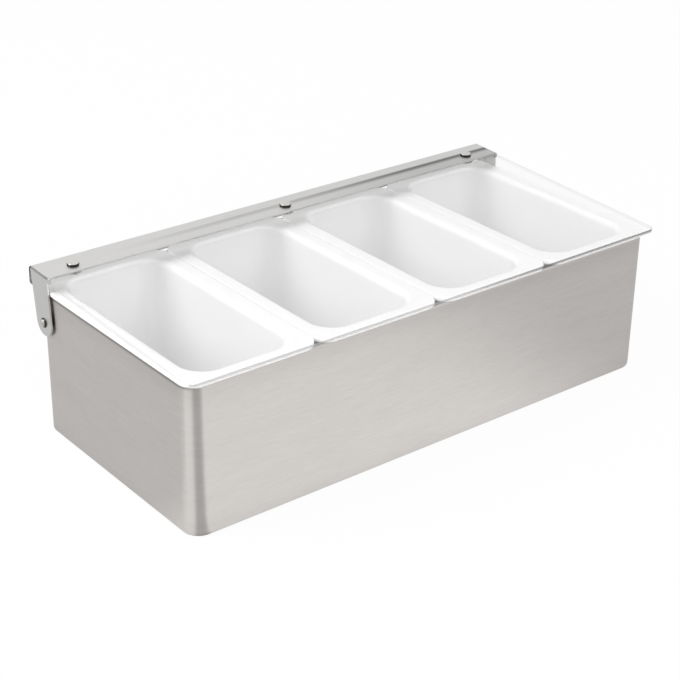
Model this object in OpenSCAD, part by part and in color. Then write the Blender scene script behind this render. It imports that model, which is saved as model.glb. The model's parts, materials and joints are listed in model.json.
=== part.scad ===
// Condiment caddy: a brushed steel box holding loose white pots, under one clear lid.
// The lid hangs on a folded steel bar whose two arms swing on rivets in the end walls.
// Origin: middle of the underside. +X along the box, -Y the open front, +Z up. Millimetres.

/* [Box] */
// Length of the box, outside
base_length = 300; // [260:1:400]
// Depth of the box from front to back, outside
base_width = 138.5; // [100:0.5:200]
// Height of the box to its top edge
base_height = 80.5; // [60:0.5:120]
// Corner radius in plan, outside
base_corner_r = 9.6; // [6:0.1:12]
// Thickness of the steel sheet
base_sheet = 0.8; // [0.5:0.1:1.2]
// Radius of the bend round the floor, outside
base_bend_r = 2.4; // [1.6:0.1:4]
// Depth of the edge that is folded down inside the top
hem_depth = 6; // [4:0.5:10]
// Slit left between the wall and its folded edge
hem_slit = 0.4; // [0.2:0.1:0.8]

/* [Pots] */
// Number of pots side by side
pot_count = 4; // [3:1:5]
// Gap between the pots and the floor of the box
pot_floor_gap = 3.9; // [2:0.1:30]
// Thickness of the flange
flange_t = 2.2; // [1.5:0.1:3]
// How far the flanges reach past the box
flange_overhang = 0.4; // [0:0.1:0.6]
// Corner radius of a flange in plan
flange_corner_r = 8.5; // [4:0.5:10]
// Flat of the flange along the sides of a pot
flange_side = 6.4; // [5:0.1:8]
// Flat of the flange along the front and back of a pot
flange_front = 5.4; // [5:0.1:8]
// Gap between neighbouring flanges
flange_gap = 0.4; // [0.3:0.05:1]
// Wall thickness of a pot
pot_wall = 1.8; // [1.2:0.1:2.4]
// Draft of the pot walls, degrees
pot_draft = 2.6; // [1:0.1:4]
// Corner radius of a pot's mouth in plan
mouth_corner_r = 16; // [15:0.5:20]
// Radius of the rolled edge of the mouth
mouth_roll_r = 3; // [2.4:0.1:4]
// Radius between a pot's wall and its floor, inside
pot_floor_r = 8; // [4:0.5:10]

/* [Lid] */
// Thickness of the clear sheet
lid_t = 2.1; // [1.5:0.1:3]
// How far the sheet reaches past the front flanges
lid_overhang = 3; // [1:0.5:6]
// Radius of the sheet's front corners
lid_corner_r = 4.5; // [2:0.5:10]
// Gap between the closed sheet and the front flanges
lid_rest_gap = 0.3; // [0.2:0.05:0.6]
// Distance of the end rivets from the ends of the box
lid_rivet_end = 17; // [12:1:60]
// Distance of the lid rivets from the back of the bar
lid_rivet_in = 11.3; // [9:0.1:14]

/* [Hinge bar] */
// Thickness of the bar's sheet
bar_sheet = 1; // [0.8:0.1:1.2]
// Radius of the bar's bends, outside
bar_bend_r = 1.4; // [1.3:0.1:3]
// Width of the strip over the lid
bar_width = 18.5; // [17:0.5:26]
// Depth of the flange down the back of the bar
bar_flange = 11.5; // [8:0.5:12.5]
// Radius of the flange's lower corners
bar_flange_r = 3; // [1:0.5:5]
// Height of the clear sheet over the flanges, above the pivots
lid_lift = 5.4; // [4:0.1:8]
// How far the bar's back stands behind the box
bar_behind = 4.2; // [3:0.05:8]
// Radius of the round end of an arm
arm_end_r = 7.2; // [6:0.1:10]
// Slit between an arm and the back flange, at the top
arm_slit = 0.5; // [0.3:0.1:1]
// Gap between an arm and the end wall
arm_gap = 0.9; // [0.8:0.1:1.5]

/* [Pivots] */
// Height of the pivots below the box's top edge
pivot_drop = 16.3; // [14:0.1:20]
// Distance of the pivots from the back of the box
pivot_inset = 8.75; // [8:0.05:12]
// Radius of a pivot rivet's shank
pivot_r = 1.5; // [1.2:0.1:2]
// Running clearance of an arm on its rivet, on the radius
pivot_run = 0.06; // [0.02:0.01:0.09]

/* [Rivets and washers] */
// Radius of a lid rivet's flat head
lid_head_r = 3.2; // [2.8:0.1:4]
// Height of a lid rivet's head
lid_head_h = 1.3; // [0.8:0.1:2]
// Radius of the rounded rim of a flat head
head_round = 0.5; // [0.2:0.1:0.7]
// Radius of a lid rivet's shank
lid_rivet_r = 1.6; // [1.2:0.1:2]
// Radius of the domed head of a pivot rivet
dome_r = 2.7; // [2.2:0.1:3.5]
// Height of that dome
dome_h = 1.6; // [1:0.1:2]
// Thickness of every washer
washer_t = 0.8; // [0.5:0.1:1]
// Radius of a washer under the clear sheet
lid_washer_r = 4.5; // [3.5:0.1:5]
// Radius of a spacer between an arm and the wall
spacer_r = 3.2; // [2.4:0.1:4]
// Radius of a washer inside the end wall
wall_washer_r = 2.8; // [2.4:0.1:3.5]
// Height of a rivet's set end
set_h = 1; // [0.6:0.1:1.4]

/* [Hidden] */
$fn = 96;
eps = 0.01;
cut = 1;                // how far a cutting solid runs past what it cuts
hole_play = 0.1;        // clearance of a rivet or washer in a hole, on the radius
face_play = 0.1;        // gap between two faces that slide past each other
set_r_share = 1.7;      // a set end's radius over its shank's radius
steps_per_mm = 1000;    // places where solids meet are rounded to this

half_l = base_length / 2;
half_w = base_width / 2;
hem_r = base_sheet + hem_slit / 2;

flange_top = base_height + flange_t;
pots_length = base_length + 2 * flange_overhang;
flange_l = (pots_length - (pot_count - 1) * flange_gap) / pot_count;
flange_w = base_width + 2 * flange_overhang;
pot_pitch = flange_l + flange_gap;

pivot_y = half_w - pivot_inset;
pivot_z = base_height - pivot_drop;
arm_in = half_l + arm_gap;
arm_out = arm_in + bar_sheet;

bar_reach = pivot_inset + bar_behind;
lid_under = pivot_drop + flange_t + lid_lift;
bar_rise = lid_under + lid_t + bar_sheet;

// The closed sheet leans forward until it comes down on the front flanges.
rest_dy = half_w + flange_overhang + pivot_y;
rest_dz = flange_top + lid_rest_gap - pivot_z;
lid_tilt = asin(lid_under / norm([rest_dy, rest_dz])) - atan2(rest_dz, rest_dy);
lid_front = -(rest_dy + lid_overhang - lid_under * sin(lid_tilt)) / cos(lid_tilt);
lid_back = bar_reach - bar_bend_r - lid_rest_gap;
lid_half = arm_out - face_play;
lid_rivet_y = bar_reach - lid_rivet_in;

bar_front = bar_reach - bar_width;
arm_front = bar_front + bar_sheet;
arm_back = bar_reach - bar_sheet - arm_slit;
notch_front = arm_front - bar_sheet;
notch_half = arm_in - bar_bend_r;

// The wall bends away inside the corner, so a washer there bears on the bend.
bend_in_r = base_corner_r - base_sheet;
bend_past = max(0, pivot_y + wall_washer_r - (half_w - base_corner_r));
washer_seat = half_l - base_sheet - (bend_in_r - sqrt(pow(bend_in_r, 2) - pow(bend_past, 2)));

lid_rivet_names = ["left", "middle", "right"];
pivot_names = ["left", "right"];

function rounded(v) = round(v * steps_per_mm) / steps_per_mm;
function lid_rivet_x(i) = (i - 1) * (half_l - lid_rivet_end);
function pot_x(i) = rounded((i - (pot_count + 1) / 2) * pot_pitch);
// Where the line from p touches a circle of radius r about the origin, on one side of it
function touch(p, r, side) =
    let (a = atan2(p[1], p[0]) + side * acos(r / norm(p))) r * [cos(a), sin(a)];

// A section drawn with x outwards from a corner's axis is carried once round a rounded rectangle.
module round_rect_sweep(half_x, half_y, corner_r) {
    x = rounded(half_x - corner_r);
    y = rounded(half_y - corner_r);
    for (turn = [0, 180]) rotate([0, 0, turn]) {
        translate([x, 0, 0]) rotate([90, 0, 0])
            linear_extrude(2 * y, center = true) children();
        translate([0, y, 0]) rotate([90, 0, 90])
            linear_extrude(2 * x, center = true) children();
        translate([x, y, 0]) rotate_extrude(angle = 90) children();
        translate([x, -y, 0]) rotate([0, 0, -90]) rotate_extrude(angle = 90) children();
    }
}

// Half of a vessel's section from a corner's axis to its drafted wall, with a rounded foot.
// A lip radius above 0 rolls the top of the wall outwards to the full corner radius.
module vessel_section(corner_r, low, high, draft, foot_r, lip_r, over) {
    lip_mid = high - lip_r;
    lip_z = rounded(lip_mid + lip_r * sin(draft));
    lip_x = corner_r - sqrt(max(0, pow(lip_r, 2) - pow(lip_z - lip_mid, 2)));
    foot_mid = rounded(low + foot_r);
    foot_x = rounded(lip_x - (lip_z - foot_mid) * tan(draft) - foot_r / cos(draft));
    wall_z = rounded(foot_mid - foot_r * sin(draft));
    wall_x = foot_x + sqrt(pow(foot_r, 2) - pow(foot_mid - wall_z, 2));
    difference() {
        polygon([
            [0, low], [foot_x, low], [wall_x, wall_z],
            [lip_x, lip_z], [corner_r, high], [corner_r, high + over], [0, high + over]
        ]);
        if (lip_r > 0) translate([corner_r, lip_mid]) circle(lip_r);
    }
    intersection() {
        translate([foot_x, foot_mid]) circle(foot_r);
        translate([foot_x, low]) square([foot_r, wall_z - low]);
    }
}

module vessel(half_x, half_y, corner_r, low, high, draft = 0, foot_r = 1, lip_r = 0, over = 0) {
    x = rounded(half_x - corner_r);
    y = rounded(half_y - corner_r);
    round_rect_sweep(half_x, half_y, corner_r)
        vessel_section(corner_r, low, high, draft, foot_r, lip_r, over);
    translate([-x, -y, low]) cube([2 * x, 2 * y, high + over - low]);
}

module round_rect(size_x, size_y, r) {
    square([size_x - 2 * r, size_y], center = true);
    square([size_x, size_y - 2 * r], center = true);
    for (x = [-1, 1], y = [-1, 1])
        translate([x * (size_x / 2 - r), y * (size_y / 2 - r)]) circle(r);
}

// The wall folded over and down inside, which leaves a round top edge
module hem_section() {
    translate([base_corner_r - hem_r, base_height - hem_r]) difference() {
        circle(hem_r);
        circle(hem_slit / 2);
        translate([-2 * hem_r, -2 * hem_r]) square([4 * hem_r, 2 * hem_r]);
    }
    translate([base_corner_r - 2 * hem_r, base_height - hem_depth])
        square([base_sheet, hem_depth - hem_r]);
}

module base_shell() {
    color("silver") {
        difference() {
            vessel(half_l, half_w, base_corner_r, 0, base_height - hem_r, foot_r = base_bend_r);
            vessel(half_l - base_sheet, half_w - base_sheet, bend_in_r, base_sheet,
                base_height, foot_r = base_bend_r - base_sheet);
            translate([0, pivot_y, pivot_z]) rotate([0, 90, 0])
                cylinder(r = pivot_r + hole_play, h = base_length + 2 * cut, center = true);
        }
        round_rect_sweep(half_l, half_w, base_corner_r) hem_section();
    }
}

module pot(i) {
    floor_z = base_sheet + pot_floor_gap;
    mouth_x = flange_l / 2 - flange_side;
    mouth_y = flange_w / 2 - flange_front;
    under = base_height + flange_t / 2;
    // how far the outside of the wall lies inside the mouth at that height
    wall_in = mouth_roll_r * cos(pot_draft) - pot_wall / cos(pot_draft)
        + (flange_top - under - mouth_roll_r * (1 - sin(pot_draft))) * tan(pot_draft);
    color("white") translate([pot_x(i), 0, 0]) difference() {
        union() {
            translate([0, 0, base_height])
                linear_extrude(flange_t) round_rect(flange_l, flange_w, flange_corner_r);
            vessel(mouth_x - wall_in, mouth_y - wall_in, mouth_corner_r - wall_in,
                floor_z, under, draft = pot_draft, foot_r = pot_floor_r + pot_wall);
        }
        vessel(mouth_x, mouth_y, mouth_corner_r, floor_z + pot_wall, flange_top,
            draft = pot_draft, foot_r = pot_floor_r, lip_r = mouth_roll_r, over = cut);
    }
}

// The lid and its bar are drawn about the pivot axis, then leant forward to rest.
module on_pivots() {
    translate([0, pivot_y, pivot_z]) rotate([lid_tilt, 0, 0]) children();
}

// An outline in the plane across the box, with y to the back and z up, drawn out along it
module along_x(length) {
    rotate([90, 0, 90]) linear_extrude(length, center = true) children();
}

module lid_sheet() {
    color([0.88, 0.93, 0.95, 0.35]) on_pivots() difference() {
        translate([0, 0, lid_under]) linear_extrude(lid_t) difference() {
            union() {
                translate([-lid_half, lid_front + lid_corner_r])
                    square([2 * lid_half, lid_back - lid_front - lid_corner_r]);
                translate([lid_corner_r - lid_half, lid_front])
                    square([2 * (lid_half - lid_corner_r), 2 * lid_corner_r]);
                for (s = [-1, 1])
                    translate([s * (lid_half - lid_corner_r), lid_front + lid_corner_r])
                        circle(lid_corner_r);
            }
            for (s = [-1, 1])
                translate([s * (notch_half + lid_half) / 2, (notch_front + lid_back + cut) / 2])
                    square([lid_half - notch_half, lid_back + cut - notch_front], center = true);
        }
        for (i = [0 : 2])
            translate([lid_rivet_x(i), lid_rivet_y, lid_under - cut])
                cylinder(r = lid_rivet_r + hole_play, h = lid_t + 2 * cut);
    }
}

// A block with its top back edge and its top end edges rounded
module bent_block(half_x, back, top, r, deep) {
    intersection() {
        along_x(2 * half_x) {
            translate([bar_front - deep, -deep]) square([back - r - bar_front + deep, top + deep]);
            translate([bar_front - deep, -deep]) square([back - bar_front + deep, top - r + deep]);
            translate([back - r, top - r]) circle(r);
        }
        translate([0, bar_front - deep, 0]) rotate([90, 0, 180])
            linear_extrude(back - bar_front + 2 * deep) {
                translate([-half_x + r, -deep]) square([2 * (half_x - r), top + deep]);
                translate([-half_x, -deep]) square([2 * half_x, top - r + deep]);
                for (s = [-1, 1]) translate([s * (half_x - r), top - r]) circle(r);
            }
    }
}

module arm_outline() {
    front_top = [arm_front, bar_rise - bar_bend_r];
    back_top = [arm_back, bar_rise - bar_bend_r];
    polygon([
        [arm_front, bar_rise + cut], front_top, touch(front_top, arm_end_r, 1),
        touch(back_top, arm_end_r, -1), back_top, [arm_back, bar_rise + cut]
    ]);
    circle(arm_end_r);
}

module hinge_bar() {
    deep = arm_end_r + cut;
    low = bar_rise - bar_flange;
    color("silver") on_pivots() difference() {
        intersection() {
            difference() {
                bent_block(arm_out, bar_reach, bar_rise, bar_bend_r, deep);
                bent_block(arm_in, bar_reach - bar_sheet, bar_rise - bar_sheet,
                    bar_bend_r - bar_sheet, deep + cut);
            }
            union() {
                // the strip over the lid
                along_x(2 * arm_out + cut) translate([bar_front, bar_rise - bar_bend_r])
                    square([bar_width, bar_bend_r + cut]);
                // the flange, with its lower corners rounded
                translate([0, bar_reach - bar_sheet - eps, 0]) rotate([90, 0, 180])
                    linear_extrude(bar_sheet + cut) {
                        translate([-arm_out, low + bar_flange_r])
                            square([2 * arm_out, bar_flange - bar_flange_r]);
                        translate([bar_flange_r - arm_out, low])
                            square([2 * (arm_out - bar_flange_r), 2 * bar_flange_r]);
                        for (s = [-1, 1])
                            translate([s * (arm_out - bar_flange_r), low + bar_flange_r])
                                circle(bar_flange_r);
                    }
                along_x(2 * arm_out + cut) arm_outline();
            }
        }
        for (i = [0 : 2])
            translate([lid_rivet_x(i), lid_rivet_y, bar_rise - 2 * bar_sheet])
                cylinder(r = lid_rivet_r + hole_play, h = 3 * bar_sheet);
        rotate([0, 90, 0])
            cylinder(r = pivot_r + pivot_run, h = 2 * arm_out + 2 * cut, center = true);
    }
}

// A flat head with a rounded rim, standing on z = 0
module flat_head(r, h) {
    rotate_extrude() {
        square([r - head_round, h]);
        square([r, h - head_round]);
        translate([r - head_round, h - head_round])
            intersection() {
                circle(head_round);
                square(head_round);
            }
    }
}

module dome_head(r, h) {
    ball_r = (r * r + h * h) / (2 * h);
    rotate_extrude() intersection() {
        translate([0, h - ball_r]) circle(ball_r);
        square([r, h]);
    }
}

// A washer or spacer standing on z = 0, round a shank of radius hole_r
module washer(r, hole_r, t) {
    difference() {
        cylinder(r = r, h = t);
        translate([0, 0, -cut]) cylinder(r = hole_r + hole_play, h = t + 2 * cut);
    }
}

module lid_rivet(i) {
    set_top = lid_under - washer_t;
    color("gainsboro") on_pivots() translate([lid_rivet_x(i), lid_rivet_y, 0]) {
        translate([0, 0, bar_rise]) flat_head(lid_head_r, lid_head_h);
        translate([0, 0, set_top - set_h])
            cylinder(r = lid_rivet_r, h = bar_rise + set_h - set_top + eps);
        translate([0, 0, set_top - set_h]) cylinder(r = lid_rivet_r * set_r_share, h = set_h);
    }
}

module lid_washer(i) {
    color("gainsboro") on_pivots()
        translate([lid_rivet_x(i), lid_rivet_y, lid_under - washer_t])
            washer(lid_washer_r, lid_rivet_r, washer_t);
}

// Pivot pieces are drawn on the right and mirrored for the left; +Z of a piece points outwards.
module at_pivot(side, out) {
    mirror([side == 0 ? 1 : 0, 0, 0]) translate([out, pivot_y, pivot_z]) rotate([0, 90, 0]) children();
}

module pivot_rivet(side) {
    head_at = arm_out + face_play;
    set_at = washer_seat - washer_t - set_h;
    color("gainsboro") {
        at_pivot(side, head_at) dome_head(dome_r, dome_h);
        at_pivot(side, set_at) cylinder(r = pivot_r, h = head_at - set_at + eps);
        at_pivot(side, set_at) cylinder(r = pivot_r * set_r_share, h = set_h);
    }
}

module pivot_spacer(side) {
    color("gainsboro") at_pivot(side, half_l) washer(spacer_r, pivot_r, arm_gap - face_play);
}

module pivot_washer(side) {
    color("gainsboro") at_pivot(side, washer_seat - washer_t)
        washer(wall_washer_r, pivot_r, washer_t);
}

base_shell();
for (i = [1 : pot_count]) pot(i);
lid_sheet();
hinge_bar();
for (i = [0 : 2]) {
    name = lid_rivet_names[i];
    lid_rivet(i);
    lid_washer(i);
}
for (side = [0, 1]) {
    name = pivot_names[side];
    pivot_rivet(side);
    pivot_spacer(side);
    pivot_washer(side);
}
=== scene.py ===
import bmesh
import bpy
import json
import math
from mathutils import Matrix, Vector


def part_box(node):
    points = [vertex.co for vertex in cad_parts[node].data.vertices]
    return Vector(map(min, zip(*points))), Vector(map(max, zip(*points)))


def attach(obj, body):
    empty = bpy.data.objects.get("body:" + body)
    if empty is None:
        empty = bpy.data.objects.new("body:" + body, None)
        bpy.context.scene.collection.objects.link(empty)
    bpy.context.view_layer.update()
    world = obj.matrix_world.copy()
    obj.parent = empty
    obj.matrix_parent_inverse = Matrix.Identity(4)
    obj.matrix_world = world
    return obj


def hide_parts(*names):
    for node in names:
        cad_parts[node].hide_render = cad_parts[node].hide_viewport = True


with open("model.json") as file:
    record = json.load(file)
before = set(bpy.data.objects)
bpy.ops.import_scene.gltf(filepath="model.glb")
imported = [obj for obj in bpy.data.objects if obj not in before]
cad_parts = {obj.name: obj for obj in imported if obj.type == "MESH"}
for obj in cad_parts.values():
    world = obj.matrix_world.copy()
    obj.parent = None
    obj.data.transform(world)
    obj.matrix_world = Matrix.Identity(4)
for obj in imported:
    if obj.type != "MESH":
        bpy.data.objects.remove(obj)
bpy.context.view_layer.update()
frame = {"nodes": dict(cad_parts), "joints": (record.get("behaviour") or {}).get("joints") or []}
mm = 0.001
scene = bpy.context.scene
scene.view_settings.view_transform = "Standard"
print("frame loaded")

view = {
    "azimuth": -38.51,  # degrees; 0 looks along +Y
    "elevation": 26.69,
    "roll": 0.77,
    "distance": 906.5,  # mm from the middle of the underside
    "across": -6.61,  # mm the camera stands to its own right
    "upwards": 29.53,
    "lens": 87.63,
    "sensor": 36,
}


def makeCamera():
    azimuth, elevation, roll = (math.radians(view[k]) for k in ("azimuth", "elevation", "roll"))
    back = Vector((
        math.sin(azimuth) * math.cos(elevation),
        -math.cos(azimuth) * math.cos(elevation),
        math.sin(elevation),
    ))
    right = (-back).cross(Vector((0, 0, 1))).normalized()
    up = right.cross(-back)
    turned = Matrix.Rotation(-roll, 3, -back)
    right, up = turned @ right, turned @ up
    camera = bpy.data.objects.new("camera", bpy.data.cameras.new("camera"))
    scene.collection.objects.link(camera)
    camera.data.lens = view["lens"]
    camera.data.sensor_width = view["sensor"]
    place = back * view["distance"] + right * view["across"] + up * view["upwards"]
    camera.matrix_world = Matrix.Translation(place * mm) @ Matrix((right, up, back)).transposed().to_4x4()
    scene.camera = camera


makeCamera()
print("camera placed")


class Wire:  # a shader socket that can stand in a sum
    def __init__(self, recipe, socket):
        self.recipe = recipe
        self.socket = socket

    def join(self, operation, first, second):
        return self.recipe.node("ShaderNodeMath", {"operation": operation}, {0: first, 1: second})

    def __add__(self, other):
        return self.join("ADD", self, other)

    def __radd__(self, other):
        return self.join("ADD", other, self)

    def __sub__(self, other):
        return self.join("SUBTRACT", self, other)

    def __rsub__(self, other):
        return self.join("SUBTRACT", other, self)

    def __mul__(self, other):
        return self.join("MULTIPLY", self, other)

    def __rmul__(self, other):
        return self.join("MULTIPLY", other, self)

    def __gt__(self, other):
        return self.join("GREATER_THAN", self, other)


class Recipe:  # one material or world, with its nodes
    def __init__(self, owner):
        owner.use_nodes = True
        self.owner = owner
        self.tree = owner.node_tree
        self.tree.nodes.clear()

    def node(self, kind, settings=None, values=None, output=0):
        made = self.tree.nodes.new(kind)
        for key, value in (settings or {}).items():
            if key == "stops":
                self.setStops(made.color_ramp, value)
            else:
                setattr(made, key, value)
        for key, value in (values or {}).items():
            if isinstance(value, Wire):
                self.tree.links.new(value.socket, made.inputs[key])
            else:
                made.inputs[key].default_value = value
        return Wire(self, made.outputs[output]) if made.outputs else made

    def setStops(self, ramp, stops):
        while len(ramp.elements) < len(stops):
            ramp.elements.new(0.5)
        for element, (place, level) in zip(ramp.elements, stops):
            element.position = place
            element.color = (level, level, level, 1)

    def coordinate(self, kind):
        return self.node("ShaderNodeTexCoord", {}, {}, kind)

    def beside(self, wire, name):  # another output of the same node
        return Wire(self, wire.socket.node.outputs[name])

    def noise(self, place, scale, detail=2.0, roughness=0.5):
        return self.node("ShaderNodeTexNoise", {}, {
            "Vector": place, "Scale": scale, "Detail": detail, "Roughness": roughness,
        }, "Fac")

    def stretched(self, place, scale):
        return self.node("ShaderNodeVectorMath", {"operation": "MULTIPLY"}, {0: place, 1: scale}, "Vector")

    def blend(self, factor, first, second):
        return self.node("ShaderNodeMix", {"data_type": "RGBA"}, {
            "Factor": factor, 6: first, 7: second,
        }, 2)

    def mixed(self, factor, first, second):  # of two shaders
        return self.node("ShaderNodeMixShader", {}, {0: factor, 1: first, 2: second})

    def clear(self, tint):
        return self.node("ShaderNodeBsdfTransparent", {}, {"Color": tint})


def newMaterial(name):
    return Recipe(bpy.data.materials.new(name))


shellSteel = {
    "colour": (0.715, 0.685, 0.662, 1),
    "streakColour": (0.645, 0.615, 0.592, 1),
    "roughness": 0.34,
    "roughnessSpread": 0.14,
    "grainAlong": 110.0,  # noise cells in a metre along the grain
    "grainAcross": 1600.0,
    "grainDepth": 0.025,  # mm
    "patchScale": 16.0,
    "patchFlat": 6,  # how much flatter the broad patches are than they are long
    "finerPatch": 4,  # how much finer the patches of the roughness are
    "streakFrom": 0.36, "streakTo": 0.66,  # noise levels between which a streak fades
    "fineColour": 0.8,  # share of the fine grain in the colour
    "fineGloss": 0.6,  # and in the roughness
    "drawnOut": 0.75,  # how far the grain draws a reflection out across itself
}
shellPaintedShade = {  # painted shade: the steel is painted darker towards the rim, the foot and the bend under it
    "rim": 0.07, "rimDepth": 14.0,  # mm
    "foot": 0.05, "footHeight": 14.0,
    "bend": 0.55, "bendHeight": 1.5,
    "line": 0.45, "lineDepth": 2.4,  # a painted shadow under the rim of the end walls
    "endFrom": 0.35, "endTo": 0.95,  # how squarely a wall looks to the end to have that line
}
barSteel = dict(
    shellSteel,
    colour=(0.70, 0.695, 0.685, 1),
    streakColour=(0.63, 0.625, 0.615, 1),
    drawnOut=0.0,
)
barPaintedReflection = {  # a painted reflection: a soft dark streak along the rivets, which deepens towards the right-hand end, with painted shade on the front half
    "line": 63.2,  # mm along Y
    "backWidth": 2.2, "frontWidth": 4.2,
    "start": -125.0, "middle": -25.0, "end": 105.0,  # mm along X
    "faint": 0.25, "deep": 0.56,
    "frontShade": 0.20,
}
barArm = {  # the bar turns down into an arm at each end
    "from": 150.6,  # mm from the middle along X
    # painted light: the arms are painted paler, standing for the brighter reflections on them
    "colour": (0.80, 0.795, 0.785, 1),
    "leastColour": 0.4,  # share of that colour where the grain is darkest
    # painted shade in the fold where the bar turns down into an arm
    "foldShadeColour": (0.26, 0.255, 0.25, 1),
    "foldFrom": 0.12, "foldTo": 0.42,  # how much a face looks both up and endways
    "backFrom": 71.0,  # mm along Y; the cut ends of the back flange get painted shade
    "endways": 0.5,
}
rivetSteel = dict(
    shellSteel,
    colour=(0.72, 0.71, 0.68, 1),
    streakColour=(0.60, 0.59, 0.56, 1),
    roughness=0.24,
    grainDepth=0.004,
    drawnOut=0.0,
)
rivetPaintedShade = {  # painted shade held round the rim of a rivet's head
    "colour": (0.035, 0.033, 0.030, 1),
    "Z": (0.25, 0.85), "X": (0.60, 0.92),  # how squarely a face looks along the rivet
    "depth": 2.2,  # mm below the top; the set ends under the lid get no painted shade
}


def smoothShare(recipe, value, start, end):
    return recipe.node("ShaderNodeMapRange", {"interpolation_type": "SMOOTHSTEP"}, {
        "Value": value, "From Min": min(start, end), "From Max": max(start, end),
        "To Min": 0.0 if start < end else 1.0, "To Max": 1.0 if start < end else 0.0,
    })


def partsOf(recipe, vector):
    x = recipe.node("ShaderNodeSeparateXYZ", {}, {"Vector": vector}, "X")
    return [x, recipe.beside(x, "Y"), recipe.beside(x, "Z")]


def absolute(recipe, value):
    return recipe.node("ShaderNodeMath", {"operation": "ABSOLUTE"}, {0: value})


# a painted reflection along the bar's top, as a share of its colour
def paintedReflectionStreak(recipe, place):
    x, y = partsOf(recipe, place)[:2]
    line, start, middle, end = (barPaintedReflection[k] * mm for k in ("line", "start", "middle", "end"))
    faint = smoothShare(recipe, x, start, middle) * barPaintedReflection["faint"]
    deep = smoothShare(recipe, x, middle, end)
    behind = smoothShare(recipe, y, line + barPaintedReflection["backWidth"] * mm, line)
    ahead = smoothShare(recipe, y, line - barPaintedReflection["frontWidth"] * mm, line)
    frontHalf = smoothShare(recipe, y, line, line - barPaintedReflection["frontWidth"] * mm)
    streak = behind * ahead * (faint + barPaintedReflection["deep"] * deep)
    return 1 - streak - frontHalf * deep * barPaintedReflection["frontShade"]


# painted shade on the box's steel: darker at the rim and foot, a dark line in the bottom bend, a shadow under
# the end walls' rim
def paintedShadeOfShell(recipe, place):
    z, rim = partsOf(recipe, place)[2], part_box("base_shell")[1].z
    atRim = smoothShare(recipe, z, rim - shellPaintedShade["rimDepth"] * mm, rim) * shellPaintedShade["rim"]
    atFoot = smoothShare(recipe, z, shellPaintedShade["footHeight"] * mm, 0) * shellPaintedShade["foot"]
    bend, line = shellPaintedShade["bendHeight"] * mm, shellPaintedShade["lineDepth"] * mm
    endways = absolute(recipe, partsOf(recipe, recipe.coordinate("Normal"))[0])
    atEnd = smoothShare(recipe, endways, shellPaintedShade["endFrom"], shellPaintedShade["endTo"])
    underRim = smoothShare(recipe, z, rim - line, rim - line / 3) * atEnd * shellPaintedShade["line"]
    inBend = smoothShare(recipe, z, bend, bend / 4) * shellPaintedShade["bend"]
    return atRim + atFoot + underRim + inBend


def grainOf(recipe, place, values, onArm):
    along, across = values["grainAlong"], values["grainAcross"]
    if onArm is None:
        return recipe.stretched(place, (along, along, across))
    x, y, z = partsOf(recipe, place)
    return recipe.node("ShaderNodeCombineXYZ", {}, {  # along the strip, and down the arms at its ends
        "X": x * along,
        "Y": (y - z * (1 - onArm)) * across,
        "Z": z * onArm * along,
    })


def colourOfBar(recipe, place, colour, onArm, fine):
    least = barArm["leastColour"]
    # the painted reflection streak along the bar
    colour = recipe.blend(paintedReflectionStreak(recipe, place), (0, 0, 0, 1), colour)
    # painted light: paler arms
    colour = recipe.blend(onArm * (least + fine * (1 - least)), colour, barArm["colour"])
    outwards, upwards = partsOf(recipe, recipe.coordinate("Normal"))[::2]
    endways = absolute(recipe, outwards)
    # painted shade in the fold
    fold = smoothShare(recipe, endways * upwards, barArm["foldFrom"], barArm["foldTo"])
    # painted shade on the cut ends of the back flange
    behind = partsOf(recipe, place)[1] > barArm["backFrom"] * mm
    colour = recipe.blend(fold, colour, barArm["foldShadeColour"])
    return recipe.blend(behind * (endways > barArm["endways"]), colour, rivetPaintedShade["colour"])


# painted shade round the rim of a rivet's head
def colourOfRivet(recipe, place, colour, axis, above):
    outward = absolute(recipe, partsOf(recipe, recipe.coordinate("Normal"))["XYZ".index(axis)])
    shadedRim = (1 - smoothShare(recipe, outward, *rivetPaintedShade[axis])) * (partsOf(recipe, place)[2] > above)
    return recipe.blend(shadedRim, colour, rivetPaintedShade["colour"])


def brushedSteel(name, values, withPaintedShade=False, folded=False, rimAxis=None, rimAbove=0.0):
    recipe = newMaterial(name)
    place = recipe.coordinate("Object")
    onArm = (absolute(recipe, partsOf(recipe, place)[0]) > barArm["from"] * mm) if folded else None
    fine = recipe.noise(grainOf(recipe, place, values, onArm), 1.0, detail=4.0, roughness=0.8)
    broad = recipe.noise(recipe.stretched(place, (1, 1, values["patchFlat"])), values["patchScale"])
    patch = recipe.noise(place, values["patchScale"] * values["finerPatch"], detail=3.0)
    fineColour, fineGloss = values["fineColour"], values["fineGloss"]
    stops = ((values["streakFrom"], 0.0), (values["streakTo"], 1.0))
    mix = recipe.node("ShaderNodeValToRGB", {"stops": stops}, {
        "Fac": fine * fineColour + broad * (1 - fineColour),
    })
    colour = recipe.blend(mix, values["streakColour"], values["colour"])
    if withPaintedShade:
        colour = recipe.blend(paintedShadeOfShell(recipe, place), colour, (0, 0, 0, 1))
    if folded:
        colour = colourOfBar(recipe, place, colour, onArm, fine)
    if rimAxis is not None:
        colour = colourOfRivet(recipe, place, colour, rimAxis, rimAbove)
    spread = values["roughnessSpread"]
    uneven = fine * fineGloss + patch * (1 - fineGloss)
    bump = recipe.node("ShaderNodeBump", {}, {
        "Strength": 1.0, "Distance": values["grainDepth"] * mm, "Height": fine,
    })
    shader = recipe.node("ShaderNodeBsdfPrincipled", {}, {
        "Base Color": colour,
        "Metallic": 1.0,
        "Roughness": values["roughness"] - spread / 2 + spread * uneven,
        "Normal": bump,
        "Anisotropic": values["drawnOut"],
        "Anisotropic Rotation": 0.25,  # a quarter turn
    })
    recipe.node("ShaderNodeOutputMaterial", {}, {"Surface": shader})
    return recipe.owner


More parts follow.
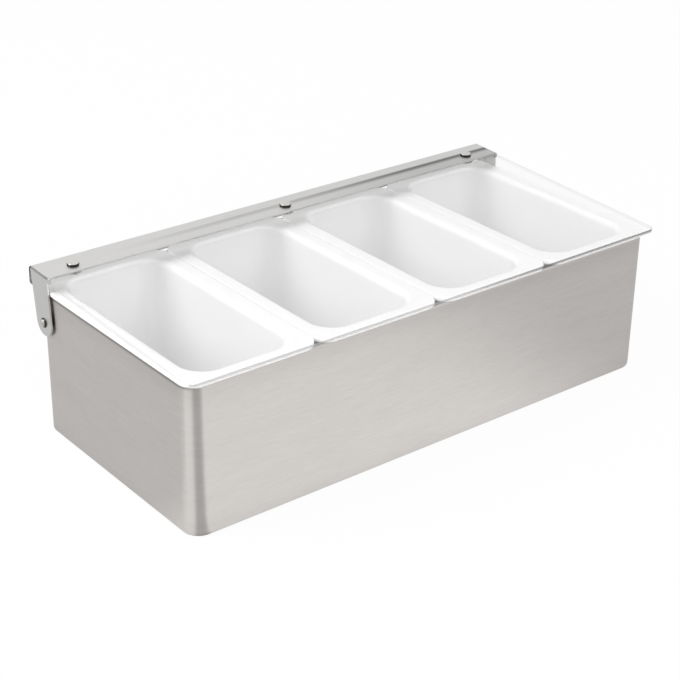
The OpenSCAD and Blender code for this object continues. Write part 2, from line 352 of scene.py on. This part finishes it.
potPlastic = {
    "colour": (0.971, 0.970, 0.970, 1),
    "deepColour": (0.963, 0.962, 0.963, 1),
    "roughness": 0.50,
    "roughnessSpread": 0.10,
    "refraction": 1.49,
    "cloudScale": 22.0,  # cells in a metre of the uneven milkiness
    "skinScale": 900.0,  # cells in a metre of the moulded skin
    "skinDepth": 0.003,  # mm
    "milky": 0.8,
    "milkyDepth": 1.8,  # mm that light travels inside the plastic
    "carried": 0.34,  # painted light: the rim under the bar glows, lifting the shade the bar casts there
    "carriedFrom": -2.0, "carriedTo": 11.0,  # mm behind the bar's front edge
    "carriedDeep": 2.2, "carriedHigh": 0.2,  # mm below the rim
}


def mouldedPlastic(name, values):
    recipe = newMaterial(name)
    place = recipe.coordinate("Object")
    skin = recipe.noise(place, values["skinScale"], detail=3.0)
    cloud = recipe.noise(place, values["cloudScale"])
    colour = recipe.blend(cloud, values["deepColour"], values["colour"])
    spread = values["roughnessSpread"]
    uneven = (skin + cloud) * 0.5
    bump = recipe.node("ShaderNodeBump", {}, {
        "Strength": 1.0, "Distance": values["skinDepth"] * mm, "Height": skin,
    })
    # painted light: a glow on the rim under the bar
    inwards, height = partsOf(recipe, place)[1:]
    front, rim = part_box("hinge_bar")[0].y / mm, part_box("pot_1")[1].z / mm
    start, end = (front + values[k] for k in ("carriedFrom", "carriedTo"))
    deep, high = (rim - values[k] for k in ("carriedDeep", "carriedHigh"))
    glowUnderBar = smoothShare(recipe, inwards, start * mm, end * mm)
    shader = recipe.node("ShaderNodeBsdfPrincipled", {}, {
        "Base Color": colour,
        "Roughness": values["roughness"] - spread / 2 + spread * uneven,
        "IOR": values["refraction"],
        "Normal": bump,
        "Emission Color": glowUnderBar * smoothShare(recipe, height, deep * mm, high * mm),
        "Emission Strength": values["carried"],
        "Subsurface Weight": values["milky"],
        "Subsurface Radius": (1, 1, 1),
        "Subsurface Scale": values["milkyDepth"] * mm,
    })
    recipe.node("ShaderNodeOutputMaterial", {}, {"Surface": shader})
    return recipe.owner


clearPlastic = {
    "tint": (0.996, 0.996, 0.996, 1),
    "colour": (0.80, 0.80, 0.80, 1),
    "headOn": 0.035,  # share of the light that a face turns back head on
    "sideTint": (0.973, 0.973, 0.973, 1),
    "sideShown": 0.08,
    # painted shade on the front edge of the sheet
    "frontShadeTint": (0.69, 0.69, 0.685, 1),
    "frontShown": 0.50,
    "frontFrom": -0.4, "frontTo": -0.8,  # how squarely an edge looks to the front
    "edgeShadeColour": (0.48, 0.48, 0.475, 1),
    "deepShadeTint": (0.42, 0.42, 0.415, 1),  # painted shade: the front edge is tinted darker to the right
    "deepShadeEdge": (0.21, 0.21, 0.207, 1),
    "deepFrom": -15.0, "deepTo": 78.0,  # mm along X
    "clearBelow": 0.6, "darkAbove": 1.1,  # mm above the foot of that edge, so the flanges show through
    "lowShare": 0.3,  # how much of the front edge's looks its foot keeps
    "refraction": 1.49,
    "roughness": 0.04,
    "smear": 0.05,
    "smearScale": 35.0,
}


def clearSheet(name, values, isEdge):
    recipe = newMaterial(name)
    place = recipe.coordinate("Object")
    smear = recipe.noise(place, values["smearScale"], detail=3.0)
    facing = recipe.node("ShaderNodeLayerWeight", {}, {"Blend": 0.5}, "Facing")
    square = facing * facing
    shown = values["headOn"] + (1 - values["headOn"]) * square * square * facing
    if isEdge:  # painted shade: the front edge is tinted darker, standing for the length of the sheet seen down it
        across, height = partsOf(recipe, place)[::2]
        foot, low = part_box("lid_sheet")[0].z / mm, values["lowShare"]
        clear, dark = (foot + values[k] for k in ("clearBelow", "darkAbove"))
        front = recipe.node("ShaderNodeMapRange", {}, {
            "Value": partsOf(recipe, recipe.coordinate("Normal"))[1],
            "From Min": values["frontFrom"], "From Max": values["frontTo"],
        })
        front = front * (low + (1 - low) * smoothShare(recipe, height, clear * mm, dark * mm))
        deep = smoothShare(recipe, across, values["deepFrom"] * mm, values["deepTo"] * mm)
        colour = recipe.blend(deep, values["edgeShadeColour"], values["deepShadeEdge"])
        ahead = recipe.mixed(deep, recipe.clear(values["frontShadeTint"]), recipe.clear(values["deepShadeTint"]))
        through = recipe.mixed(front, recipe.clear(values["sideTint"]), ahead)
        shown = shown + values["sideShown"] + (values["frontShown"] - values["sideShown"]) * front
    else:
        through, colour = recipe.clear(values["tint"]), values["colour"]
    gloss = recipe.node("ShaderNodeBsdfPrincipled", {}, {
        "Base Color": colour,
        "Roughness": values["roughness"] + values["smear"] * smear,
        "IOR": values["refraction"],
    })
    recipe.node("ShaderNodeOutputMaterial", {}, {"Surface": recipe.mixed(shown, through, gloss)})
    return recipe.owner


steelOfShell = brushedSteel("brushedShell", shellSteel, withPaintedShade=True)
steelOfBar = brushedSteel("brushedBar", barSteel, folded=True)
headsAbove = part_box("lid_rivet_left")[1].z - rivetPaintedShade["depth"] * mm
steelOfRivets = brushedSteel("rivetSteel", rivetSteel, rimAxis="Z", rimAbove=headsAbove)
steelOfPivots = brushedSteel("pivotSteel", rivetSteel, rimAxis="X")
whitePlastic = mouldedPlastic("whitePlastic", potPlastic)
clearFace = clearSheet("clearFace", clearPlastic, isEdge=False)
clearEdge = clearSheet("clearEdge", clearPlastic, isEdge=True)
print("materials made")


def namesOf(start):
    return sorted(n for n in frame["nodes"] if n.startswith(start))


def addPiece(name, mesh, *materials):
    piece = bpy.data.objects.new(name, mesh)
    scene.collection.objects.link(piece)
    for material in materials:
        mesh.materials.append(material)
    return piece


edgeRules = {
    "shadeSharp": 35,  # degrees between two faces, from which their edge shades sharp
    "roundFrom": 40,  # and from which it gets rounded
    "roundSteps": 2,
}


def sharpEdges(work, angle):
    return [e for e in work.edges if len(e.link_faces) == 2 and e.calc_face_angle() > math.radians(angle)]


def finishMesh(name, work):
    bmesh.ops.recalc_face_normals(work, faces=work.faces)
    for face in work.faces:
        face.smooth = True
    for edge in sharpEdges(work, edgeRules["shadeSharp"]):
        edge.smooth = False
    mesh = bpy.data.meshes.new(name)
    work.to_mesh(mesh)
    work.free()
    return mesh


def flatShaded(mesh):  # keeps broad faces flat beside the narrow bevels round them
    holder = bpy.data.objects.new("holder", mesh)
    scene.collection.objects.link(holder)
    modifier = holder.modifiers.new("weighted", "WEIGHTED_NORMAL")
    modifier.mode = "FACE_AREA"
    modifier.weight = 100  # the largest faces set the normals
    modifier.keep_sharp = True
    made = bpy.data.meshes.new_from_object(holder.evaluated_get(bpy.context.evaluated_depsgraph_get()))
    bpy.data.objects.remove(holder)
    return made


def roundRims(work, radius, material=-1):
    bmesh.ops.bevel(work, geom=sharpEdges(work, edgeRules["roundFrom"]), offset=radius * mm,
                    segments=edgeRules["roundSteps"], profile=0.5, affect="EDGES", material=material)


def sameOrder(work):  # an extruded mesh comes in an order that differs from run to run
    def arrange(items, key):
        for index, item in enumerate(sorted(items, key=key)):
            item.index = index
        items.sort()

    arrange(work.verts, lambda vert: [round(k, 7) for k in vert.co])
    arrange(work.edges, lambda edge: sorted(vert.index for vert in edge.verts))
    arrange(work.faces, lambda face: sorted(vert.index for vert in face.verts))


def arc(middle, radius, start, end, steps):  # points of an arc in a section, in degrees
    points = []
    for step in range(steps + 1):
        turn = math.radians(start + (end - start) * step / steps)
        points.append((middle[0] + radius * math.cos(turn), middle[1] + radius * math.sin(turn)))
    return points


def roundedRing(halfX, halfY, radius, height, steps, support):
    ring = []
    for sideX, sideY, start in ((1, 1, 0), (-1, 1, 90), (-1, -1, 180), (1, -1, 270)):
        middle = (sideX * (halfX - radius), sideY * (halfY - radius))
        corner = arc(middle, radius, start, start + 90, steps)
        turn = math.radians(start)
        lead = Vector((-math.sin(turn), math.cos(turn))) * support
        trail = Vector((-math.cos(turn), -math.sin(turn))) * support
        corner = [Vector(corner[0]) - lead] + [Vector(p) for p in corner] + [Vector(corner[-1]) + trail]
        ring += [(p.x, p.y, height) for p in corner]
    return ring


def ringSolid(name, rings):  # closes a stack of rings with a flat face at each end
    work = bmesh.new()
    rows = [[work.verts.new(p) for p in ring] for ring in rings]
    count = len(rows[0])
    for low, high in zip(rows, rows[1:]):
        for k in range(count):
            work.faces.new((low[k], low[(k + 1) % count], high[(k + 1) % count], high[k]))
    work.faces.new(rows[0])
    work.faces.new(rows[-1])
    return finishMesh(name, work)


def scaled(points):
    return [(x * mm, y * mm, z * mm) for x, y, z in points]


shell = {  # mm, as in every dictionary of a piece's sizes
    "cornerRadius": 9.6,
    "sheet": 0.8,
    "bendRadius": 2.4,
    "hemDepth": 6.0,
    "hemSlit": 0.4,
    "cornerSteps": 18,
    "bendSteps": (8, 6),  # outer and inner
    "hemSteps": (12, 6),
    "support": 0.5,  # flat kept beside every bend, so that it shades flat
}


def makeShell():
    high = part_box("base_shell")[1]
    halfX, halfY, height = high.x / mm, high.y / mm, high.z / mm
    sheet, bend, support = shell["sheet"], shell["bendRadius"], shell["support"]
    fold = sheet + shell["hemSlit"] / 2
    foldZ = height - fold
    hemZ = height - shell["hemDepth"]
    (bendOut, bendIn), (hemOut, hemIn) = shell["bendSteps"], shell["hemSteps"]
    section = [(bend + support, 0)]  # distance in from the outer face, and height
    section += arc((bend, bend), bend, 270, 180, bendOut)
    section += [(0, bend + support), (0, foldZ - support)]
    section += arc((fold, foldZ), fold, 180, 0, hemOut)
    section += [(2 * fold, foldZ - support), (2 * fold, hemZ), (2 * fold - sheet, hemZ)]
    section += [(2 * fold - sheet, foldZ - support)]
    section += arc((fold, foldZ), fold - sheet, 0, 180, hemIn)
    section += [(sheet, foldZ - support), (sheet, bend + support)]
    section += arc((bend, bend), bend - sheet, 180, 270, bendIn)
    section += [(bend + support, sheet)]
    radius, steps = shell["cornerRadius"], shell["cornerSteps"]
    rings = [
        scaled(roundedRing(halfX - inwards, halfY - inwards, radius - inwards, z, steps, support))
        for inwards, z in section
    ]
    piece = addPiece("boxShell", ringSolid("boxShell", rings), steelOfShell)
    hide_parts("base_shell")
    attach(piece, "caddy")


makeShell()
print("box made")

pot = {
    "flange": 2.2,
    "flangeCorner": 8.5,
    "side": 6.4,  # flat of the flange beside the mouth
    "front": 5.4,
    "edgeRound": 0.25,
    "roll": 3.0,
    "mouthCorner": 16.0,
    "draft": 2.6,
    "wall": 1.8,
    "floorRound": 8.0,
    "edgeSteps": 3,
    "rollSteps": 8,
    "floorSteps": 10,
    "cornerSteps": 16,
    "support": 0.4,
}


def potRings(low, high):
    middleX = (low.x + high.x) / 2 / mm
    halfX, halfY = (high.x - low.x) / 2 / mm, (high.y - low.y) / 2 / mm
    top, bottom = high.z / mm, low.z / mm
    draft = math.radians(pot["draft"])
    roll, wall, floorRound = pot["roll"], pot["wall"], pot["floorRound"]
    edge, support = pot["edgeRound"], pot["support"]
    edgeSteps, floorSteps, upright = pot["edgeSteps"], pot["floorSteps"], 180 + pot["draft"]
    rollZ = top - roll
    wallTop = rollZ + roll * math.sin(draft)
    under = top - pot["flange"]
    footZ = bottom + wall + floorRound

    def wallAt(z):
        return roll * math.cos(draft) + (wallTop - z) * math.tan(draft)

    footIn = wallAt(footZ) + floorRound / math.cos(draft)
    mouth = (halfX - pot["side"], halfY - pot["front"], pot["mouthCorner"])
    flange = (halfX, halfY, pot["flangeCorner"])
    outer = floorRound + wall
    stack = [(mouth, footIn + support, bottom)]
    stack += [(mouth, x, z) for x, z in arc((footIn, footZ), outer, 270, upright, floorSteps)]
    outerTop = wallAt(under) - wall / math.cos(draft)
    stack += [(mouth, outerTop, under), (flange, edge + support, under)]
    stack += [(flange, x, z) for x, z in arc((edge, under + edge), edge, 270, 180, edgeSteps)]
    stack += [(flange, x, z) for x, z in arc((edge, top - edge), edge, 180, 90, edgeSteps)]
    stack += [(flange, edge + support, top), (mouth, -support, top)]
    stack += [(mouth, x, z) for x, z in arc((0, rollZ), roll, 90, pot["draft"], pot["rollSteps"])]
    stack += [(mouth, wallAt(wallTop - support), wallTop - support)]
    stack += [(mouth, wallAt(footZ + support), footZ + support)]
    stack += [(mouth, x, z) for x, z in arc((footIn, footZ), floorRound, upright, 270, floorSteps)]
    stack += [(mouth, footIn + support, bottom + wall)]
    rings = []
    for (sizeX, sizeY, radius), inwards, z in stack:
        ring = roundedRing(sizeX - inwards, sizeY - inwards, radius - inwards, z, pot["cornerSteps"], support)
        rings.append(scaled([(x + middleX, y, height) for x, y, height in ring]))
    return rings


def makePots():
    for name in namesOf("pot_"):
        title = "pot" + name[-1]
        piece = addPiece(title, ringSolid(title, potRings(*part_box(name))), whitePlastic)
        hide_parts(name)
        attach(piece, "caddy")


makePots()
print("pots made")

lid = {
    "cornerRadius": 4.5,
    "edgeRound": 0.2,
    "rivetHole": 1.7,
    "holeSteps": 24,
    "cornerSteps": 10,
    "flat": 0.9,  # how squarely a face looks up or down to be one of the two clear faces
    "near": 0.05,  # mm within which a point counts as on an edge
}
pivot = Vector(next(j["pos_m"] for j in frame["joints"] if j["name"] == "lid_hinge"))


def slopeOfSheet():  # the closed sheet leans forward; its largest face gives the angle
    normal = max(frame["nodes"]["lid_sheet"].data.polygons, key=lambda face: face.area).normal
    return math.atan2(-normal.y, normal.z) if normal.z > 0 else math.atan2(normal.y, -normal.z)


leaning = Matrix.Translation(pivot) @ Matrix.Rotation(slopeOfSheet(), 4, "X")


def localBox(name):  # a lid node's corners seen along the leaning sheet, in mm about the pivots
    back = leaning.inverted()
    points = [back @ v.co for v in frame["nodes"][name].data.vertices]
    low = Vector([min(p[k] for p in points) for k in range(3)]) / mm
    high = Vector([max(p[k] for p in points) for k in range(3)]) / mm
    return low, high


def notchOf(high):  # the inner corner of the cut that clears an arm
    back = leaning.inverted()
    points = [back @ v.co / mm for v in frame["nodes"]["lid_sheet"].data.vertices]
    near = lid["near"]
    return (max(p.x for p in points if p.y > high.y - near),
            max(p.y for p in points if p.x > high.x - near))


def makeSheet():
    low, high = localBox("lid_sheet")
    radius, steps = lid["cornerRadius"], lid["cornerSteps"]
    notchX, notchY = notchOf(high)
    outline = arc((high.x - radius, low.y + radius), radius, 270, 360, steps)
    outline += [(high.x, notchY), (notchX, notchY), (notchX, high.y)]
    outline += [(-notchX, high.y), (-notchX, notchY), (low.x, notchY)]
    outline += arc((low.x + radius, low.y + radius), radius, 180, 270, steps)
    work = bmesh.new()
    loops = [[work.verts.new((x * mm, y * mm, low.z * mm)) for x, y in outline]]
    for name in namesOf("lid_rivet_"):
        rivetLow, rivetHigh = localBox(name)
        middle = ((rivetLow.x + rivetHigh.x) / 2, (rivetLow.y + rivetHigh.y) / 2)
        circle = arc(middle, lid["rivetHole"], 0, 360, lid["holeSteps"])[:-1]
        loops.append([work.verts.new((x * mm, y * mm, low.z * mm)) for x, y in circle])
    edges = []
    for loop in loops:
        edges += [work.edges.new((loop[k], loop[(k + 1) % len(loop)])) for k in range(len(loop))]
    filled = bmesh.ops.triangle_fill(work, use_beauty=True, edges=edges)
    faces = [item for item in filled["geom"] if isinstance(item, bmesh.types.BMFace)]
    raised = bmesh.ops.extrude_face_region(work, geom=faces)
    moved = [item for item in raised["geom"] if isinstance(item, bmesh.types.BMVert)]
    bmesh.ops.translate(work, verts=moved, vec=(0, 0, (high.z - low.z) * mm))
    bmesh.ops.recalc_face_normals(work, faces=work.faces)
    for face in work.faces:
        face.material_index = 0 if abs(face.normal.z) > lid["flat"] else 1
    roundRims(work, lid["edgeRound"], material=1)
    sameOrder(work)
    mesh = flatShaded(finishMesh("clearSheet", work))
    mesh.transform(leaning)
    piece = addPiece("clearSheet", mesh, clearFace, clearEdge)
    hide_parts("lid_sheet")
    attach(piece, "lid")


bar = {
    "edgeRound": 0.15,
    "mergeWithin": 0.002,  # mm
    "flatWithin": 0.5,  # degrees
}


def makeBar():
    work = bmesh.new()
    work.from_mesh(frame["nodes"]["hinge_bar"].data)
    bmesh.ops.remove_doubles(work, verts=work.verts, dist=bar["mergeWithin"] * mm)
    bmesh.ops.dissolve_limit(work, angle_limit=math.radians(bar["flatWithin"]),
                             verts=work.verts, edges=work.edges)
    roundRims(work, bar["edgeRound"])
    mesh = flatShaded(finishMesh("hingeBar", work))
    piece = addPiece("hingeBar", mesh, steelOfBar)
    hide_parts("hinge_bar")
    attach(piece, "lid")


makeSheet()
makeBar()
print("lid made")


def rowTree():  # sets copies of one turned part in a row along X, each facing away from the middle
    tree = bpy.data.node_groups.new("partsInARow", "GeometryNodeTree")
    tree.is_modifier = True
    for name, kind in (("Geometry", "Geometry"), ("Part", "Object"), ("Count", "Int"),
                       ("Spacing", "Float"), ("Finish", "Material")):
        tree.interface.new_socket(name=name, in_out="INPUT", socket_type="NodeSocket" + kind)
    tree.interface.new_socket(name="Geometry", in_out="OUTPUT", socket_type="NodeSocketGeometry")

    def add(kind, values=None, output=0, **settings):
        node = tree.nodes.new(kind)
        for key, value in settings.items():
            setattr(node, key, value)
        for key, value in (values or {}).items():
            if isinstance(value, bpy.types.NodeSocket):
                tree.links.new(value, node.inputs[key])
            else:
                node.inputs[key].default_value = value
        return node.outputs[output]

    def maths(operation, first, second):
        return add("ShaderNodeMath", {0: first, 1: second}, operation=operation)

    given = tree.nodes.new("NodeGroupInput").outputs
    span = maths("MULTIPLY", maths("SUBTRACT", given["Count"], 1.0), given["Spacing"])
    line = add("GeometryNodeMeshLine", {
        "Count": given["Count"],
        "Start Location": add("ShaderNodeCombineXYZ", {"X": maths("MULTIPLY", span, -0.5)}),
        "Offset": add("ShaderNodeCombineXYZ", {"X": given["Spacing"]}),
    }, mode="OFFSET")
    placeX = add("ShaderNodeSeparateXYZ", {0: add("GeometryNodeInputPosition")}, "X")
    halfTurn = maths("MULTIPLY", maths("LESS_THAN", placeX, 0.0), math.pi)
    copies = add("GeometryNodeInstanceOnPoints", {
        "Points": line,
        "Instance": add("GeometryNodeObjectInfo", {"Object": given["Part"]}, "Geometry"),
        "Rotation": add("ShaderNodeCombineXYZ", {"Z": halfTurn}),
    })
    solid = add("GeometryNodeRealizeInstances", {"Geometry": copies})
    finished = add("GeometryNodeSetMaterial", {"Geometry": solid, "Material": given["Finish"]})
    result = tree.nodes.new("NodeGroupOutput")
    tree.links.new(finished, result.inputs[0])
    return tree


turned = {"steps": 32, "edgeRound": 0.1}


def lathe(name, outline, axis="Z"):  # turns a section of (radius, height) points about an axis
    work = bmesh.new()
    steps = turned["steps"]
    closed = outline[0][0] > 0
    rows = []
    for radius, height in outline:
        if radius == 0:
            rows.append([work.verts.new((0, 0, height * mm))] * steps)
        else:
            circle = arc((0, 0), radius, 0, 360, steps)[:-1]
            rows.append([work.verts.new((x * mm, y * mm, height * mm)) for x, y in circle])
    pairs = list(zip(rows, rows[1:]))
    if closed:
        pairs.append((rows[-1], rows[0]))
    for low, high in pairs:
        for k in range(steps):
            corners = []
            for vert in (low[k], low[(k + 1) % steps], high[(k + 1) % steps], high[k]):
                if vert not in corners:
                    corners.append(vert)
            work.faces.new(corners)
    mesh = finishMesh(name, work)
    if axis == "X":
        mesh.transform(Matrix.Rotation(math.pi / 2, 4, "Y"))
    return mesh


def partRow(name, tree, mesh, count, spacing, place, finish, nodes, body):
    sample = bpy.data.objects.new(name + "Sample", mesh)
    holder = addPiece(name + "Holder", bpy.data.meshes.new(name + "Holder"))
    modifier = holder.modifiers.new("row", "NODES")
    modifier.node_group = tree
    sockets = {item.name: item.identifier for item in tree.interface.items_tree if item.in_out == "INPUT"}
    modifier[sockets["Part"]] = sample
    modifier[sockets["Count"]] = count
    modifier[sockets["Spacing"]] = spacing
    modifier[sockets["Finish"]] = finish
    bpy.context.view_layer.update()
    evaluated = holder.evaluated_get(bpy.context.evaluated_depsgraph_get())
    made = bpy.data.meshes.new_from_object(evaluated)
    holder.modifiers.remove(modifier)
    bpy.data.objects.remove(holder)
    bpy.data.objects.remove(sample)
    made.name = name
    made.transform(place)
    piece = addPiece(name, made)
    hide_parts(*nodes)
    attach(piece, body)


lidRivet = {
    "headRound": 0.5,
    "headSteps": 5,
    "shank": 1.6,
    "setShare": 1.7,  # radius of the set end, in shanks
    "setHeight": 1.0,
    "setSteps": 4,
}
lidWasher = {"radius": 4.5, "hole": 1.7}
pivotRivet = {
    "domeHeight": 1.6,
    "domeSteps": 8,
    "shank": 1.5,
    "setShare": 1.7,
    "setHeight": 1.0,
    "setEdge": 0.3,
}
pivotWasher = {"spacer": 3.2, "washer": 2.8, "hole": 1.6}


def ringSection(radius, hole, low, high):
    edge = turned["edgeRound"]
    section = [(hole, low), (radius - edge, low), (radius, low + edge)]
    return section + [(radius, high - edge), (radius - edge, high), (hole, high)]


def endRow(name, tree, outline, seat, place, nodes):  # one at each end of the box, seated at that X
    part = lathe(name, [(radius, x - seat) for radius, x in outline], "X")
    partRow(name, tree, part, 2, 2 * seat * mm, place, steelOfPivots, nodes, "caddy")


def makeRivets():
    tree = rowTree()
    barTop = localBox("hinge_bar")[1].z

    names = namesOf("lid_rivet_")
    boxes = [localBox(n) for n in names]
    middles = sorted((low.x + high.x) / 2 for low, high in boxes)
    spacing = (middles[1] - middles[0]) * mm
    low, high = boxes[0]
    across = (low.y + high.y) / 2
    radius, rim = (high.x - low.x) / 2, lidRivet["headRound"]
    shank = lidRivet["shank"]
    setRadius, setTop = shank * lidRivet["setShare"], low.z + lidRivet["setHeight"]
    outline = [(0, low.z), (setRadius - rim, low.z)]
    outline += arc((setRadius - rim, low.z + rim), rim, 270, 360, lidRivet["setSteps"])[1:]
    outline += [(setRadius, setTop), (shank, setTop), (shank, barTop), (radius, barTop)]
    outline += arc((radius - rim, high.z - rim), rim, 0, 90, lidRivet["headSteps"])
    outline += [(0, high.z)]
    row = leaning @ Matrix.Translation((0, across * mm, 0))
    partRow("lidRivets", tree, lathe("lidRivet", outline), len(names), spacing, row,
            steelOfRivets, names, "lid")

    names = namesOf("lid_washer_")
    low, high = localBox(names[0])
    section = ringSection(lidWasher["radius"], lidWasher["hole"], low.z, high.z)
    partRow("lidWashers", tree, lathe("lidWasher", section), len(names), spacing, row,
            steelOfRivets, names, "lid")

    names = namesOf("pivot_rivet_")
    low, high = (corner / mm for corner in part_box("pivot_rivet_right"))
    radius, height = (high.z - low.z) / 2, pivotRivet["domeHeight"]
    ball = (radius ** 2 + height ** 2) / (2 * height)
    widest = math.degrees(math.asin(radius / ball))
    headAt = high.x - height
    shank = pivotRivet["shank"]
    setRadius, setTop = shank * pivotRivet["setShare"], low.x + pivotRivet["setHeight"]
    edge = pivotRivet["setEdge"]
    outline = [(0, low.x), (setRadius - edge, low.x), (setRadius, low.x + edge), (setRadius, setTop)]
    outline += [(shank, setTop), (shank, headAt), (radius, headAt)]
    outline += arc((0, high.x - ball), ball, 90 - widest, 90, pivotRivet["domeSteps"])[1:-1]
    outline += [(0, high.x)]
    ends = Matrix.Translation((0, pivot.y, pivot.z))
    endRow("pivotRivets", tree, outline, headAt, ends, names)

    for start, size, title in (("pivot_spacer_", "spacer", "pivotSpacers"),
                               ("pivot_washer_", "washer", "pivotWashers")):
        names = namesOf(start)
        low, high = (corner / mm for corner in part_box(start + "right"))
        section = ringSection(pivotWasher[size], pivotWasher["hole"], low.x, high.x)
        endRow(title, tree, section, low.x, ends, names)


makeRivets()
print("rivets made")

studio = {
    "floorSize": 12.0,  # m
    "floorColour": (0.82, 0.82, 0.82, 1),
    "floorWhite": 0.95,  # share of plain white in the floor that the camera sees
    "skyLight": 0.72,
    "dimSide": (0.985, 0.174, 0.0),  # direction of the dimmer side of the room
    "dimFrom": 0.55, "dimTo": 0.78,  # how nearly a ray runs that way
    "dimLevel": 0.85,
    "aimHeight": 0.05,  # m; the lamps point at the middle of the box
}
pool = {  # the floor is brightest in front of the box and to its left, as steel shows it
    "level": 0.64,
    "frontFrom": -0.02, "frontTo": -0.075,  # m along Y
    "sideFrom": 0.17, "sideTo": 0.04,  # m along X
    "gapCorner": (-0.140, -0.060),  # a dim gap between two lights runs out from here
    "gapAlong": (-0.407, -0.914),
    "gapNear": 0.004,  # m; nearer the corner than this the gap gets no narrower
    "gapInner": 0.22, "gapOuter": 0.72,  # half widths as shares of the distance
    "gapDepth": 0.46,
    "farFrom": -0.12, "farTo": -0.18, "farLevel": 0.92,  # beyond the left end, along X
}
lamps = {  # inMetal says whether gloss shows the lamp itself
    "key": {"place": (-1.5, 0.5, 1.45), "size": (1.4, 1.2), "power": 24.5, "inMetal": True},
    "front": {"place": (-0.3, -1.9, 0.75), "size": (1.8, 0.9), "power": 17.0, "inMetal": False},
}


def poolLevel(recipe):
    x, y = partsOf(recipe, recipe.coordinate("Object"))[:2]
    bright = smoothShare(recipe, y, pool["frontFrom"], pool["frontTo"])
    bright = bright * smoothShare(recipe, x, pool["sideFrom"], pool["sideTo"])
    cornerX, cornerY = pool["gapCorner"]
    alongX, alongY = pool["gapAlong"]
    away = (x - cornerX) * alongX + (y - cornerY) * alongY
    aside = (x - cornerX) * alongY - (y - cornerY) * alongX
    share = away.join("DIVIDE", absolute(recipe, aside), away.join("MAXIMUM", away, pool["gapNear"]))
    gap = smoothShare(recipe, share, pool["gapOuter"], pool["gapInner"]) * (away > 0.0)
    far = smoothShare(recipe, x, pool["farFrom"], pool["farTo"]) * (1 - pool["farLevel"])
    return pool["level"] + (1 - pool["level"] - far) * bright - pool["gapDepth"] * gap


def makeStudio():
    work = bmesh.new()
    half = studio["floorSize"] / 2
    corners = [work.verts.new((x * half, y * half, 0)) for x, y in ((-1, -1), (1, -1), (1, 1), (-1, 1))]
    work.faces.new(corners)
    floor = newMaterial("paleFloor")
    diffuse = floor.node("ShaderNodeBsdfDiffuse", {}, {"Color": studio["floorColour"]})
    seen = floor.node("ShaderNodeLightPath", {}, {}, "Is Camera Ray")
    glossy = floor.beside(seen, "Is Glossy Ray")
    level = 1 - glossy + glossy * poolLevel(floor)
    white = floor.node("ShaderNodeEmission", {}, {"Color": level, "Strength": 1.0})
    shown = (seen + glossy) * studio["floorWhite"]
    floor.node("ShaderNodeOutputMaterial", {}, {"Surface": floor.mixed(shown, diffuse, white)})
    mesh = bpy.data.meshes.new("floor")
    work.to_mesh(mesh)
    work.free()
    addPiece("floor", mesh, floor.owner)

    scene.world = bpy.data.worlds.new("studio")
    sky = Recipe(scene.world)
    rays = sky.node("ShaderNodeLightPath", {}, {}, "Is Camera Ray")
    seen = rays + sky.beside(rays, "Is Transmission Ray")
    glossy = sky.beside(rays, "Is Glossy Ray")
    towards = sky.node("ShaderNodeVectorMath", {"operation": "DOT_PRODUCT"}, {
        0: sky.coordinate("Generated"), 1: studio["dimSide"],
    }, "Value")
    dim = smoothShare(sky, towards, studio["dimFrom"], studio["dimTo"])
    light, inMetal = studio["skyLight"], 1 - (1 - studio["dimLevel"]) * dim
    strength = light + (1 - light) * seen + (inMetal - light) * glossy
    glow = sky.node("ShaderNodeBackground", {}, {"Color": (1, 1, 1, 1), "Strength": strength})
    sky.node("ShaderNodeOutputWorld", {}, {"Surface": glow})

    for name, values in lamps.items():
        lamp = bpy.data.lights.new(name, "AREA")
        lamp.shape = "RECTANGLE"
        lamp.size, lamp.size_y = values["size"]
        lamp.energy = values["power"]
        holder = bpy.data.objects.new(name, lamp)
        scene.collection.objects.link(holder)
        holder.visible_glossy = values["inMetal"]
        holder.location = values["place"]
        aim = Vector((0, 0, studio["aimHeight"])) - Vector(values["place"])
        holder.rotation_euler = aim.to_track_quat("-Z", "Y").to_euler()


makeStudio()
print("studio made")
